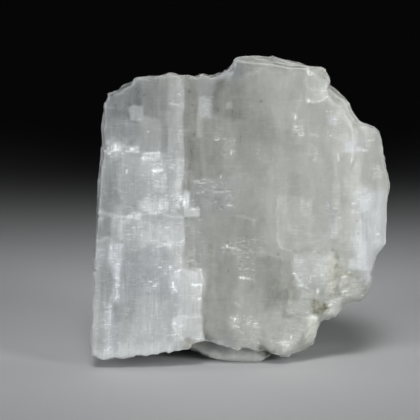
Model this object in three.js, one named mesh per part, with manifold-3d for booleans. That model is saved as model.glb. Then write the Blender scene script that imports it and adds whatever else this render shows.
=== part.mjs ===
// A broken piece of beryllonite: one translucent, milky crystal that has parted along its cleavage
// into upright blades and shallow terraces. It is a single solid that stands on its broken underside.
//
// Millimetres. +X is to the right, +Z is up, and the broad cleavage face looks towards -Y.
// The origin is under the middle of the crystal's box, on the surface that it stands on.

import * as THREE from "three";
import { mergeVertices } from "three/addons/utils/BufferGeometryUtils.js";
import Module from "manifold-3d";

const wasm = await Module();
wasm.setup();

// Driving dimensions
const HALF_WIDTH = 13.0; // the crystal is 26 mm across
const HEIGHT = 27.0; // from the surface that it stands on to the top of the crown
const FACE_DEPTH = 5.1; // from the origin to the broad face, before its terraces
const BACK_DEPTH = 5.4; // from the origin to the back, before its terraces
const TERRACE = 0.28; // the height of one cleavage step
const OUTSIDE = 2.0; // how far a cut or a terrace runs past the crystal's rim
const SIDE = HALF_WIDTH + OUTSIDE;
const ABOVE = HEIGHT + OUTSIDE;
const CHAMFER = 0.14; // the worn arris of a terrace
const RIM_LEAN = 1.1; // how far each side leans in by the back
const RIM_FALL = 1.9; // how far the top falls by the back
const FOOT_FALL = 1.6; // how far the underside would come down by the back, were it not cut level
const RING_WANDER = 0.75; // how far a step in the top or in the underside strays to the front or back
const FIBRES_IN_FRONT = 34; // thin blades that stand proud of the terraces
const FIBRES_BEHIND = 30;

// A repeatable value between -1 and 1 for a pair of whole numbers.
function scatter(i, j, seed) {
  const wave = Math.sin(i * 127.1 + j * 311.7 + seed * 74.7) * 43758.5453;
  return 2 * (wave - Math.floor(wave)) - 1;
}

// A copy of a geometry with nothing but its places.
function bareOf(geometry) {
  const bare = geometry.index ? geometry.toNonIndexed() : geometry.clone();
  bare.deleteAttribute("normal");
  bare.deleteAttribute("uv");
  return bare;
}

// A closed geometry as a solid.
function solidFrom(geometry) {
  const merged = mergeVertices(bareOf(geometry), 1e-4);
  return new wasm.Manifold(
    new wasm.Mesh({
      numProp: 3,
      vertProperties: new Float32Array(merged.attributes.position.array),
      triVerts: new Uint32Array(merged.index.array),
    }),
  );
}

// A solid as a geometry with flat faces.
function geometryFrom(solid) {
  const mesh = solid.getMesh();
  const positions = new Float32Array(mesh.numVert * 3);
  for (let i = 0; i < mesh.numVert; i += 1) {
    const start = i * mesh.numProp;
    positions.set(mesh.vertProperties.subarray(start, start + 3), i * 3);
  }
  const geometry = new THREE.BufferGeometry();
  geometry.setAttribute("position", new THREE.BufferAttribute(positions, 3));
  geometry.setIndex(new THREE.BufferAttribute(new Uint32Array(mesh.triVerts), 1));
  geometry.computeVertexNormals();
  return geometry;
}

// Breaks the long edges of an [x, z] outline, as cleavage parts across its grain: a level edge becomes
// small stairs, and an upright edge, which follows the cleavage, only jogs a little here and there.
function splinter(outline, seed, { stair = 0.9, rise = 0.14, reach = 3.2, jog = 0.1 } = {}) {
  const broken = [];
  outline.forEach(([x0, z0], i) => {
    const [x1, z1] = outline[(i + 1) % outline.length];
    const along = [x1 - x0, z1 - z0];
    const level = Math.abs(along[0]) >= Math.abs(along[1]);
    const [long, pace, shift] = level ? [Math.abs(along[0]), stair, rise] : [Math.abs(along[1]), reach, jog];
    const inside = Math.max(Math.abs(x0), Math.abs(x1)) < SIDE && Math.max(z0, z1) < ABOVE;
    broken.push([x0, z0]);
    if (long < 2 * pace || !inside) return;
    const count = Math.floor(long / pace);
    for (let k = 1; k < count; k += 1) {
      const before = (k === 1 ? 0 : shift) * scatter(i, k - 1, seed + 1);
      const after = shift * scatter(i, k, seed + 1);
      const at = (k + 0.25 * scatter(k, i, seed)) / count;
      const back = at - 0.05 / long;
      const [side, up] = level ? [0, 1] : [1, 0];
      broken.push([x0 + along[0] * back + side * before, z0 + along[1] * back + up * before]);
      broken.push([x0 + along[0] * at + side * after, z0 + along[1] * at + up * after]);
    }
  });
  return broken;
}

// A plate whose [x, z] outline stands upright between two depths, with its arrises chamfered.
function plate(outline, front, back, chamfer = CHAMFER) {
  const shape = new THREE.Shape(outline.map(([x, z]) => new THREE.Vector2(x, z)));
  const geometry = new THREE.ExtrudeGeometry(shape, {
    depth: back - front - 2 * chamfer,
    bevelEnabled: chamfer > 0,
    bevelThickness: chamfer,
    bevelSize: chamfer,
    bevelOffset: -chamfer,
    bevelSegments: 1,
  });
  geometry.rotateX(Math.PI / 2);
  geometry.translate(0, back - chamfer, 0);
  return solidFrom(geometry);
}

// How far the rim has moved in from the broad face's outline, as [y, share] from the front to the back.
// Two rings close together make a cleavage step that runs round the side.
const RIM_RINGS = [
  [-8.0, 0], [-4.9, 0], [-4.0, 0.02], [-3.1, 0.08], [-2.8, 0.3], [-1.9, 0.27], [-0.6, 0.36],
  [0.9, 0.4], [1.2, 0.64], [2.1, 0.6], [3.1, 0.74], [4.0, 0.8], [4.9, 1.0], [8.0, 1.3],
];

// A closed skin over rings of equally many points, with flat ends.
function loft(rings) {
  const count = rings[0].length;
  const ends = [rings[0], rings[rings.length - 1]];
  const positions = [];
  const add = (...points) => points.forEach(([x, y, z]) => positions.push(x, y, z));
  for (let k = 0; k + 1 < rings.length; k += 1) {
    for (let i = 0; i < count; i += 1) {
      const j = (i + 1) % count;
      add(rings[k][i], rings[k][j], rings[k + 1][j]);
      add(rings[k][i], rings[k + 1][j], rings[k + 1][i]);
    }
  }
  ends.forEach((ring, last) => {
    const flat = ring.map(([x, , z]) => new THREE.Vector2(x, z));
    THREE.ShapeUtils.triangulateShape(flat, []).forEach(([a, b, c]) => {
      const facesFront = THREE.ShapeUtils.area([flat[a], flat[b], flat[c]]) > 0;
      const kept = facesFront === (last === 0);
      add(ring[a], ring[kept ? b : c], ring[kept ? c : b]);
    });
  });
  const geometry = new THREE.BufferGeometry();
  geometry.setAttribute("position", new THREE.Float32BufferAttribute(positions, 3));
  return solidFrom(geometry);
}

// A rim point as it lies at the depth y, `share` of the way to the back. The top falls away to the back,
// the sides lean in, and the underside comes down to the surface that the crystal stands on.
function rimPoint([x, z], i, y, share, ring) {
  const inner = y > -4.5 && y < 7 ? 1 : 0;
  const high = THREE.MathUtils.smoothstep(z, 8, 24);
  const low = 1 - THREE.MathUtils.smoothstep(z, 0.9, 4.5);
  const side = Math.min(1, Math.abs(x) / HALF_WIDTH) ** 3;
  const broken = THREE.MathUtils.smoothstep(x, 7, 12);
  const uneven = 1 + 0.45 * scatter(i, 3, 31);
  const rough = inner * (0.06 + 0.14 * low + 0.1 * high + 0.16 * broken);
  const wander = inner * Math.max(high, low) * RING_WANDER * Math.sin(0.8 * i + (y < 0 ? 0 : 2.4));
  return [
    x - Math.sign(x) * RIM_LEAN * share * side * uneven + rough * scatter(i, ring, 33),
    y + wander + 0.5 * rough * scatter(ring, i, 35),
    z - share * (RIM_FALL * high * uneven + FOOT_FALL * low) + rough * scatter(i, ring, 37),
  ];
}

// The whole crystal's rim, before its broad face and its back are cut.
function buildRim() {
  return loft(
    RIM_RINGS.map(([y, share], ring) => FACE_OUTLINE.map((point, i) => rimPoint(point, i, y, share, ring))),
  );
}

// A block that takes away all that lies beyond `point` in the direction `normal`. The face that it
// leaves is rough, in cells of `cell`.
function breakage({ point, normal, rough = 0.12, cell = 1.6, seed = 1 }) {
  const size = 60;
  const cells = Math.round(size / cell);
  const geometry = new THREE.BoxGeometry(size, size, size, cells, cells, 1);
  geometry.translate(0, 0, size / 2);
  const position = geometry.attributes.position;
  for (let i = 0; i < position.count; i += 1) {
    if (position.getZ(i) > size / 4) continue;
    const row = Math.round(position.getX(i) / cell);
    const line = Math.round(position.getY(i) / cell);
    position.setZ(i, rough * scatter(row, line, seed));
  }
  const out = new THREE.Vector3(...normal).normalize();
  const turn = new THREE.Quaternion().setFromUnitVectors(new THREE.Vector3(0, 0, 1), out);
  geometry.applyQuaternion(turn);
  geometry.translate(...point);
  return solidFrom(geometry);
}

// A rough lump that leaves a pit or a shell-shaped break where it is taken away.
function pocket({ centre, radii, turn = 0, rough = 0.12, seed = 1 }) {
  const geometry = mergeVertices(bareOf(new THREE.IcosahedronGeometry(1, 3)), 1e-4);
  const position = geometry.attributes.position;
  for (let i = 0; i < position.count; i += 1) {
    const swell = 1 + rough * scatter(i, seed, 41);
    position.setXYZ(i, position.getX(i) * swell, position.getY(i) * swell, position.getZ(i) * swell);
  }
  geometry.scale(...radii);
  geometry.rotateY(turn);
  geometry.translate(...centre);
  return solidFrom(geometry);
}

// The outline that the broad face shows, [x, z], clockwise from the foot on the left.
const FACE_OUTLINE = [
  [-12.9, 1.2], [-13.0, 3.45], [-12.85, 6.4], [-12.75, 10.2], [-12.45, 14.05], [-12.05, 18.8],
  [-12.1, 21.65], [-11.8, 22.85], [-11.4, 23.8], [-11.1, 23.7], [-10.45, 24.1], [-9.4, 24.55],
  [-9.35, 24.9], [-8.7, 25.2], [-7.7, 25.2], [-7.5, 25.4], [-6.75, 25.45], [-4.4, 25.25],
  [-3.6, 25.4], [-2.3, 25.35], [-1.5, 25.75], [-0.9, 25.95], [-0.85, 26.5], [-0.1, 26.9],
  [1.4, 27.0], [3.05, 27.0], [4.6, 26.6], [5.9, 26.2], [7.15, 26.0], [7.75, 25.4],
  [8.15, 24.4], [9.0, 23.5], [9.5, 22.85], [9.7, 22.0], [11.2, 21.15], [12.35, 20.0],
  [12.6, 17.7], [13.0, 15.8], [12.9, 14.05], [12.65, 11.55], [12.4, 10.2], [11.4, 7.95],
  [11.3, 6.8], [10.45, 5.45], [9.3, 5.3], [8.25, 4.1], [6.95, 3.7], [6.6, 2.8],
  [6.35, 1.85], [5.05, 1.0], [3.9, 0.8], [2.6, 0.85], [1.9, 0.5], [1.4, 0.1],
  [0.2, 0.0], [-1.85, 0.4], [-4.5, 1.3], [-7.3, 1.15], [-9.25, 1.0], [-10.3, 0.7],
  [-12.1, 0.65],
];

// Steps on the broad face. `steps` counts terraces out from the face; a negative count is a recess.
const FACE_TERRACES = {
  upperLeft: {
    steps: 1,
    outline: [[-SIDE, 16.4], [-SIDE, ABOVE], [-5.2, ABOVE], [-5.2, 16.4]],
  },
  upperStrip: {
    steps: 2.7,
    outline: [[-6.35, 17.4], [-6.3, 24.35], [-5.6, 24.75], [-5.05, 24.05], [-5.0, 17.4]],
  },
  squareFlake: {
    steps: 2.1,
    outline: [[-9.9, 21.35], [-9.6, 22.55], [-8.5, 22.65], [-8.45, 21.4]],
  },
  leftSlab: {
    steps: 3.6,
    outline: [
      [-SIDE, -OUTSIDE], [-SIDE, 19.3], [-11.6, 19.2], [-11.5, 18.8], [-8.9, 18.75], [-8.8, 18.25],
      [-6.3, 18.2], [-6.2, 17.7], [-4.95, 17.6], [-4.95, -OUTSIDE],
    ],
  },
  middleOfTheLeftSlab: {
    steps: 4.6,
    outline: [
      [-SIDE, -OUTSIDE], [-SIDE, 13.4], [-9.4, 13.2], [-9.3, 12.95], [-5.1, 13.15],
      [-5.15, -OUTSIDE],
    ],
  },
  footOfTheLeftSlab: {
    steps: 5.5,
    outline: [
      [-SIDE, -OUTSIDE], [-SIDE, 8.5], [-10.6, 8.7], [-10.5, 10.6], [-9.2, 10.15], [-7.8, 10.3],
      [-6.2, 10.65], [-6.05, -OUTSIDE],
    ],
  },
  fibreOnTheFoot: {
    steps: 6.4,
    outline: [[-11.1, 5.05], [-10.8, 9.5], [-10.4, 9.4], [-10.2, 6.9], [-10.5, 5.15]],
  },
  cornerBlock: {
    steps: 4.9,
    outline: [
      [-5.9, 2.65], [-6.1, 4.35], [-5.9, 8.45], [-3.35, 8.5], [-3.25, 1.25], [-4.5, 1.05],
      [-5.2, 1.75],
    ],
  },
  smallLedge: {
    steps: 2.6,
    outline: [[-5.4, 13.0], [-5.3, 13.8], [-3.65, 13.7], [-3.6, 13.1]],
  },
  splinterOverTheSmallLedge: {
    steps: 1.9,
    outline: [[-5.3, 13.25], [-5.2, 15.25], [-4.45, 15.2], [-4.4, 13.3]],
  },
  splinterUnderTheTop: {
    steps: 1.6,
    outline: [[-3.6, 19.7], [-3.5, 22.85], [-2.4, 22.75], [-2.45, 21.25], [-3.0, 19.8]],
  },
  middleOfTheFace: {
    steps: 0.8,
    outline: [[-3.1, 10.2], [-3.0, 20.8], [-0.9, 20.9], [-0.85, 12.95], [-1.4, 12.75], [-1.4, 10.3]],
  },
  footOfTheFace: {
    steps: 1.4,
    outline: [[-3.4, 0.7], [-3.3, 8.9], [-0.6, 9.0], [-0.5, 10.2], [1.3, 10.0], [1.4, 0.7]],
  },
  crown: {
    steps: 1.2,
    outline: [[-0.8, 21.65], [-0.9, ABOVE], [6, ABOVE], [6, 21.45]],
  },
  rightOfTheFace: {
    steps: 1.9,
    outline: [
      [3.3, 11.05], [3.35, 14.65], [2.8, 14.85], [2.75, 23.45], [3.4, 24.05], [6.2, 23.85],
      [SIDE, 23.85], [SIDE, 9.7], [5.3, 9.8], [3.7, 10.4],
    ],
  },
  farRightOfTheFace: {
    steps: 2.9,
    outline: [[8.1, 8.3], [8.3, 18.7], [10.6, 18.8], [10.7, 19.3], [SIDE, 19.3], [SIDE, 8.3]],
  },
  hangingTab: {
    steps: 3.0,
    outline: [
      [5.8, 23.25], [5.75, ABOVE], [8.9, ABOVE], [8.9, 24.45], [8.0, 23.55], [7.0, 23.05],
    ],
  },
  lowerFlake: {
    steps: 2.1,
    outline: [[3.4, 7.7], [3.3, 9.9], [6.0, 9.9], [6.0, 6.3], [4.3, 6.6]],
  },
  scallopedFlake: {
    steps: 3.8,
    outline: [
      [4.65, 9.6], [6.2, 10.0], [8.45, 9.7], [8.4, 7.0], [7.3, 6.4], [6.6, 6.5],
      [5.9, 6.8], [5.15, 7.6], [4.7, 8.5],
    ],
  },
  lowerRightLobe: {
    steps: 1.8,
    outline: [[3.7, -OUTSIDE], [3.5, 3.85], [4.4, 5.15], [7.6, 5.25], [7.9, -OUTSIDE]],
  },
};

// Steps on the back, seen through the crystal in the same [x, z].
const BACK_TERRACES = {
  leftBackBlade: {
    steps: 1.5,
    outline: [[-SIDE, -OUTSIDE], [-SIDE, 15.8], [-9.2, 16.1], [-9.1, 12.4], [-6.8, 12.2], [-6.8, -OUTSIDE]],
  },
  middleBackBlade: {
    steps: 3.1,
    outline: [[-7.0, -OUTSIDE], [-7.1, 20.6], [-2.2, 20.9], [-2.2, 23.0], [1.9, 23.2], [2.0, -OUTSIDE]],
  },
  ridgeOfTheBack: {
    steps: 4.4,
    outline: [[-4.4, 3.1], [-4.5, 17.6], [-1.5, 17.9], [-1.4, 14.2], [0.2, 14.0], [0.2, 2.9]],
  },
  rightBackBlade: {
    steps: 2.2,
    outline: [[1.8, -OUTSIDE], [1.9, 17.4], [5.4, 17.6], [5.5, 19.8], [9.4, 19.6], [9.5, -OUTSIDE]],
  },
  lowBackLedge: {
    steps: 3.4,
    outline: [[2.6, -OUTSIDE], [2.7, 8.8], [6.1, 9.0], [6.2, 5.6], [8.2, 5.4], [8.2, -OUTSIDE]],
  },
};

// Faces along which the crystal has broken, each given by a point on it and its outward direction.
const BREAKS = {
  upperEdgeOfTheCrown: { point: [3, -4.7, 26.8], normal: [0.05, -0.75, 1], rough: 0.08, seed: 3 },
  topBehindTheFlatRim: { point: [-6, 2.2, 24.3], normal: [-0.3, 0.9, 1], seed: 5 },
  backOfTheCrown: { point: [6, 3.4, 24.6], normal: [0.5, 0.9, 1], seed: 7 },
  rightSideOfTheFace: {
    point: [11.0, -4.9, 13], normal: [0.62, -0.8, 0.05],
    rough: 0.05, cell: 2.4, seed: 9,
  },
  farRightOfTheFace: {
    point: [12.85, -2.7, 14], normal: [0.9, -0.42, 0.06],
    rough: 0.06, cell: 2.0, seed: 11,
  },
  rightShoulder: { point: [11.2, -4.3, 20.8], normal: [0.55, -0.6, 0.45], rough: 0.1, seed: 13 },
  backOfTheRightSide: { point: [11.6, 3.0, 13], normal: [0.85, 0.62, 0.1], rough: 0.12, seed: 15 },
  lowerRightCorner: {
    point: [9.6, -4.4, 6.2], normal: [0.55, -0.62, -0.55],
    rough: 0.14, cell: 0.9, seed: 17,
  },
  backOfTheLowerRight: { point: [8.8, 4.2, 5.0], normal: [0.7, 0.75, -0.6], seed: 19 },
  backLeftArris: {
    point: [-11.3, 4.7, 10], normal: [-0.8, 0.9, 0.12],
    rough: 0.1, cell: 2.2, seed: 21,
  },
  footOfTheBack: { point: [0, 5.6, 2.2], normal: [0.06, 0.9, -0.8], rough: 0.15, seed: 23 },
  slantingBreakAcrossTheBack: {
    point: [8.0, 5.9, 16], normal: [0.42, 1, 0.3],
    rough: 0.07, seed: 25,
  },
};

// Pits and shell-shaped breaks, by where each is centred and its half sizes.
const POCKETS = {
  stainedGroove: {
    centre: [8.75, -6.2, 8.0], radii: [0.55, 1.5, 2.3],
    turn: 0.12, rough: 0.2, seed: 2,
  },
  stainedCorner: {
    centre: [7.7, -5.9, 5.0], radii: [1.1, 1.6, 0.75],
    turn: -0.5, rough: 0.22, seed: 4,
  },
  chipInTheCrown: { centre: [-1.6, -5.4, 26.9], radii: [1.0, 2.6, 1.0], rough: 0.15, seed: 6 },
  chipInTheRightShoulder: {
    centre: [9.9, -3.4, 24.3], radii: [1.7, 3.4, 1.5],
    rough: 0.08, seed: 8,
  },
  shellInTheBack: { centre: [4.6, 8.6, 9.5], radii: [4.2, 2.9, 5.2], rough: 0.04, seed: 10 },
  chipInTheBacksFoot: { centre: [-4.2, 6.4, 0.4], radii: [2.4, 2.0, 1.5], rough: 0.12, seed: 12 },
};

// The recess below the broad face, where a slab further back shows its own foot.
const FOOT_RECESS = {
  outline: [
    [-4.7, -OUTSIDE], [-4.7, 1.55], [-4.2, 2.45], [-3.1, 2.3], [-1.1, 1.55], [-0.5, 1.7],
    [1.7, 1.3], [2.8, 0.85], [3.2, -OUTSIDE],
  ],
  back: -3.7,
};

// The whole height and width between two depths, as a block.
function block(front, back) {
  return plate([[-SIDE, 0], [-SIDE, ABOVE], [SIDE, ABOVE], [SIDE, 0]], front, back, 0);
}

// One terrace of the broad face as a plate that is rooted inside the crystal.
function faceTerrace({ outline, steps }, index) {
  return plate(splinter(outline, index), -FACE_DEPTH - steps * TERRACE, 0);
}

// One terrace of the back as a plate that is rooted inside the crystal.
function backTerrace({ outline, steps }, index) {
  return plate(splinter(outline, index + 40), 0, BACK_DEPTH + steps * TERRACE);
}

// True where an [x, z] point lies inside an outline.
function holds(outline, [x, z]) {
  return outline.reduce((inside, [x0, z0], i) => {
    const [x1, z1] = outline[(i + 1) % outline.length];
    const crosses = z0 > z !== z1 > z && x < x0 + ((z - z0) * (x1 - x0)) / (z1 - z0);
    return crosses ? !inside : inside;
  }, false);
}

// The steps of the highest terrace at an [x, z] point.
function stepsAt(terraces, point) {
  return Math.max(0, ...terraces.filter(({ outline }) => holds(outline, point)).map(({ steps }) => steps));
}

// Thin upright blades, each as a terrace a little above the one that it lies on. One that would cross
// the edge of a terrace is left out.
function fibresOn(terraces, count, seed) {
  const fibres = [];
  for (let k = 0; k < count; k += 1) {
    const x = 0.92 * HALF_WIDTH * ((2 * k + 1) / count - 1) + 0.3 * scatter(k, 1, seed);
    const wide = 0.7 + 0.25 * scatter(k, 2, seed);
    const middle = HEIGHT * (0.5 + 0.34 * scatter(k, 3, seed));
    const long = HEIGHT * (0.12 + 0.07 * scatter(k, 4, seed));
    const lean = 0.12 * scatter(k, 5, seed);
    const base = stepsAt(terraces, [x, middle]);
    const ends = [-long, long].map((up) => stepsAt(terraces, [x, middle + up]));
    if (ends.some((steps) => steps !== base)) continue;
    fibres.push({
      steps: base + 0.4 + 0.15 * scatter(k, 6, seed),
      outline: [
        [x - wide / 2, middle - long], [x - wide / 2 + lean, middle + long],
        [x + wide / 2 + lean, middle + 0.92 * long], [x + wide / 2, middle - 0.9 * long],
      ],
    });
  }
  return fibres;
}

function buildCrystal() {
  const join = (solids) => solids.reduce((whole, piece) => whole.add(piece));
  const cut = (solid, cutters) => cutters.reduce((rest, cutter) => rest.subtract(cutter), solid);
  const onFace = Object.values(FACE_TERRACES);
  const onBack = Object.values(BACK_TERRACES);
  const front = [...onFace, ...fibresOn(onFace, FIBRES_IN_FRONT, 57)];
  const behind = [...onBack, ...fibresOn(onBack, FIBRES_BEHIND, 53)];
  const core = block(-FACE_DEPTH, BACK_DEPTH);
  const blades = join([core, ...front.map(faceTerrace), ...behind.map(backTerrace)]);
  const whole = buildRim().intersect(blades).intersect(block(-SIDE, SIDE));
  const recess = plate(FOOT_RECESS.outline, -SIDE, FOOT_RECESS.back, 0);
  const breaks = Object.values(BREAKS).map(breakage);
  const pockets = Object.values(POCKETS).map(pocket);
  return cut(whole, [recess, ...breaks, ...pockets]);
}

// A geometry moved so that the middle of its box is over the origin. Its height stays.
function centred(geometry) {
  geometry.computeBoundingBox();
  const middle = geometry.boundingBox.getCenter(new THREE.Vector3());
  return geometry.translate(-middle.x, -middle.y, 0);
}

const crystal = new THREE.Mesh(
  centred(geometryFrom(buildCrystal())),
  new THREE.MeshStandardMaterial({ color: 0xb9bdb8, roughness: 0.3, metalness: 0 }),
);
crystal.name = "beryllonite_crystal";

const part = new THREE.Group();
part.add(crystal);

export default part;
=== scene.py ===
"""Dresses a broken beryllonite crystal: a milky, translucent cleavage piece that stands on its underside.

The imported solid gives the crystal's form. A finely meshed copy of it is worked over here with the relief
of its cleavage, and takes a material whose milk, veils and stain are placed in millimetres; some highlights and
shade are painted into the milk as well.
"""

from __future__ import annotations

import logging
import math
from dataclasses import dataclass
from enum import Enum
from functools import partial

import bmesh
import bpy
import numpy as np
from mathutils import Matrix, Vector
from mathutils.bvhtree import BVHTree


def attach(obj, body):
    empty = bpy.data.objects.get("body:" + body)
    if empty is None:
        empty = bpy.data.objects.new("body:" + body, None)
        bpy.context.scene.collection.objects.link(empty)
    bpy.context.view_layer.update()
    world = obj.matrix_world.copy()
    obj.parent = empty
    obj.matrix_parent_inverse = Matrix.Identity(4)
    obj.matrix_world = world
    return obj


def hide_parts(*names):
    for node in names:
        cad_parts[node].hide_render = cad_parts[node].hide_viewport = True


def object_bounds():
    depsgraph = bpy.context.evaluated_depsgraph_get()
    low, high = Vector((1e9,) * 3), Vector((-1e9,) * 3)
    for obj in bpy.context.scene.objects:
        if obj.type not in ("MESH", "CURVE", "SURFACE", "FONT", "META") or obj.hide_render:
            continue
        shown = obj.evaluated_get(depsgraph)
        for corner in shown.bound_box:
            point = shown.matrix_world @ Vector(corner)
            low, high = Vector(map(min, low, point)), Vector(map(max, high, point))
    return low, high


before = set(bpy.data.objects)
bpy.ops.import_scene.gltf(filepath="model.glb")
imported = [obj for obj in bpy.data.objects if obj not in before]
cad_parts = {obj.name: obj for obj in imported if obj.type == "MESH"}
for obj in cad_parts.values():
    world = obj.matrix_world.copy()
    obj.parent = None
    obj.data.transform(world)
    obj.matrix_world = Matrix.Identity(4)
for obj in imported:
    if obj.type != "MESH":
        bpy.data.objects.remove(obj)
CAD_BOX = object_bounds()

LOG = logging.getLogger("beryllonite")
MM = 0.001
Array = np.ndarray


class Lean(Enum):
    """Which way a slab's upright edges lean as they rise."""

    UPRIGHT = 0.0
    LEFT = -0.22


def linear(code: str) -> tuple[float, float, float, float]:
    """Turns an sRGB colour, six hex digits after a hash sign, to linear red, green, blue and an alpha of 1."""
    parts = [int(code[i : i + 2], 16) / 255 for i in (1, 3, 5)]
    return (*(c / 12.92 if c <= 0.04045 else ((c + 0.055) / 1.055) ** 2.4 for c in parts), 1.0)


def add_node(tree: bpy.types.NodeTree, kind: str, links: dict | tuple = (), **settings: object) -> bpy.types.Node:
    """Adds a node with its settings, its input values and its links.

    Args:
        tree: The node tree that the node joins.
        kind: The name of the node's type, after ShaderNode.
        links: For each input, by name or in order, a value to set, or an output or a node's first output to link.
        settings: Properties of the node.

    Returns:
        The new node.
    """
    node = tree.nodes.new("ShaderNode" + kind)
    for name, value in settings.items():
        setattr(node, name, value)
    for key, value in links.items() if isinstance(links, dict) else enumerate(links):
        if isinstance(value, bpy.types.Node):
            value = value.outputs[0]
        if isinstance(value, bpy.types.NodeSocket):
            tree.links.new(value, node.inputs[key])
        else:
            node.inputs[key].default_value = value
    return node


# ---- patterns in millimetres

BITS = 0xFFFFFFFF  # the largest number of 32 bits
STIRRERS = (0x9E3779B1, 0x85EBCA6B, 0xC2B2AE35)  # large odd numbers that mix a cell's bits
STRAY = 0.35  # how far the edges of blades stray, in widths of a blade
STRAY_SIZE = (4.0, 6.0)  # mm across and along the blades over which they do
SHORTEST = 0.5  # of the mean length, how long the shortest blades are
STAGGER = 9  # how many lengths the ends of neighbouring blades may be apart


def chance(seed: int, *cells: Array) -> Array:
    """Gives each cell of a grid its own lasting value.

    Args:
        seed: Which pattern the values belong to.
        cells: Whole numbers of the cells, one array for each direction.

    Returns:
        A value from 0 to 1 for each cell.
    """
    mixed = np.full(np.shape(cells[0]), (seed * STIRRERS[0]) & BITS, np.uint64)
    for cell in cells:
        mixed = (mixed ^ (np.asarray(cell).astype(np.int64).astype(np.uint64) & BITS)) * STIRRERS[1]
        mixed &= BITS
        mixed ^= mixed >> 13
        mixed = (mixed * STIRRERS[2]) & BITS
        mixed ^= mixed >> 16
    return mixed.astype(float) / BITS


def ease(t: Array) -> Array:
    """Eases a value from 0 to 1."""
    t = np.clip(t, 0, 1)
    return t * t * (3 - 2 * t)


def cloud(seed: int, size: tuple[float, ...], *axes: Array) -> Array:
    """Gives smooth noise.

    Args:
        seed: Which pattern this is.
        size: The pattern's size along each axis, in mm.
        axes: The places along each axis, in mm.

    Returns:
        Values from -1 to 1.
    """
    scaled = [a / s for a, s in zip(axes, size)]
    floors = [np.floor(a) for a in scaled]
    parts = [ease(a - f) for a, f in zip(scaled, floors)]
    total = np.zeros_like(scaled[0])
    for corner in range(2 ** len(axes)):
        bits = [(corner >> k) & 1 for k in range(len(axes))]
        weight = np.ones_like(total)
        for part, bit in zip(parts, bits):
            weight = weight * (part if bit else 1 - part)
        total += weight * chance(seed, *[f + bit for f, bit in zip(floors, bits)])
    return 2 * total - 1


def blades(seed: int, width: float, length: float, u: Array, z: Array, soft: float = 0.07) -> Array:
    """Gives the heights of upright cleavage blades that lie side by side.

    Args:
        seed: Which pattern this is.
        width: The width of a blade, in mm.
        length: The mean length of a blade, in mm.
        u: Places across the blades, in mm.
        z: Places along the blades, in mm.
        soft: Half the width of a blade's worn edge, in mm.

    Returns:
        Heights from -1 to 1.
    """
    total = np.zeros_like(u)
    for du, dz in ((-soft, -soft), (soft, -soft), (-soft, soft), (soft, soft)):
        across = (u + du) / width + STRAY * cloud(seed + 1, STRAY_SIZE, u + du, z + dz)
        column = np.floor(across)
        own = chance(seed + 2, column)
        row = np.floor((z + dz) / (length * (SHORTEST + own)) + STAGGER * own)
        total += 2 * chance(seed + 3, column, row) - 1
    return total / 4


# ---- marks on the face

# Marks are placed on a grid of small squares, counted from the left and from the top.
SQUARE = 0.0863  # mm across one square
MIDDLE_COLUMN = 240.7  # the column over the crystal's middle
FLOOR_ROW = 368.7  # the row level with what the crystal stands on
ROW_HEIGHT = 0.0871  # mm
CLEAREST, WHITEST = 105.0, 245.0  # the scale that the marks' whiteness is given on
PLAIN_WHITE, PLAIN_FROST, PLAIN_COOL = 165.0, 0.12, 0.12  # what the face has where nothing is marked

SLAB_FADE = 1.5  # a slab's edges fade over this many times its own softness
SLAB_STRAY = 7.0  # and their course strays by parts of at most this many squares
CRACK_STRAY = 0.9  # how many squares a crack strays from its line
CRACK_STRENGTH = 0.75  # how much of a crack's whiteness is felt on its line
GLINT_WHITE, SPECK_DARK = 62, 27  # how much whiter a painted glint is, and how much darker a speck
GLINT_STRETCH = (0.6, 1.7)  # painted glints are stretched level and upright by turns


def squares(places: Array) -> tuple[Array, Array]:
    """Gives the columns and rows of places in mm."""
    return places[:, 0] / SQUARE + MIDDLE_COLUMN, FLOOR_ROW - places[:, 2] / ROW_HEIGHT


def forward(y: Array, start: float, fade: float = 2.0) -> Array:
    """Eases from 0 to 1 from a place towards the front, in mm."""
    return ease((start - y) / fade)


@dataclass(frozen=True)
class Patch:
    """A part of the face between two columns and two rows.

    Attributes:
        left: Left column.
        right: Right column.
        top: Top row.
        bottom: Bottom row.
    """

    left: float
    right: float
    top: float
    bottom: float

    def inside(self, column: Array, row: Array, fade: float) -> Array:
        """Gives how far inside the patch places are, from 0 to 1."""
        across = ease((column - self.left) / fade + 0.5) * ease((self.right - column) / fade + 0.5)
        return across * ease((row - self.top) / fade + 0.5) * ease((self.bottom - row) / fade + 0.5)


@dataclass(frozen=True)
class Slab(Patch):
    """An upright slab of the face with its own whiteness, or with its own share of something else.

    Attributes:
        white: Whiteness or share inside.
        soft: How softly its edges fade, in squares.
        lean: Which way its upright edges lean.
    """

    white: float
    soft: float = 3.0
    lean: Lean = Lean.UPRIGHT

    def share(self, column: Array, row: Array) -> Array:
        """Gives how much of the slab is felt.

        Args:
            column: The columns of the places.
            row: Their rows.

        Returns:
            Values from 0 to 1.
        """
        fade = SLAB_FADE * self.soft
        stray = min(fade, SLAB_STRAY)
        column = column + 0.6 * stray * cloud(61, (11.0, 17.0), column, row) + self.lean.value * (row - self.top)
        row = row + 0.7 * stray * cloud(62, (9.0, 13.0), column, row) + 0.9 * cloud(63, (3.0, 9.0), column, row)
        return self.inside(column, row, fade)


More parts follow.
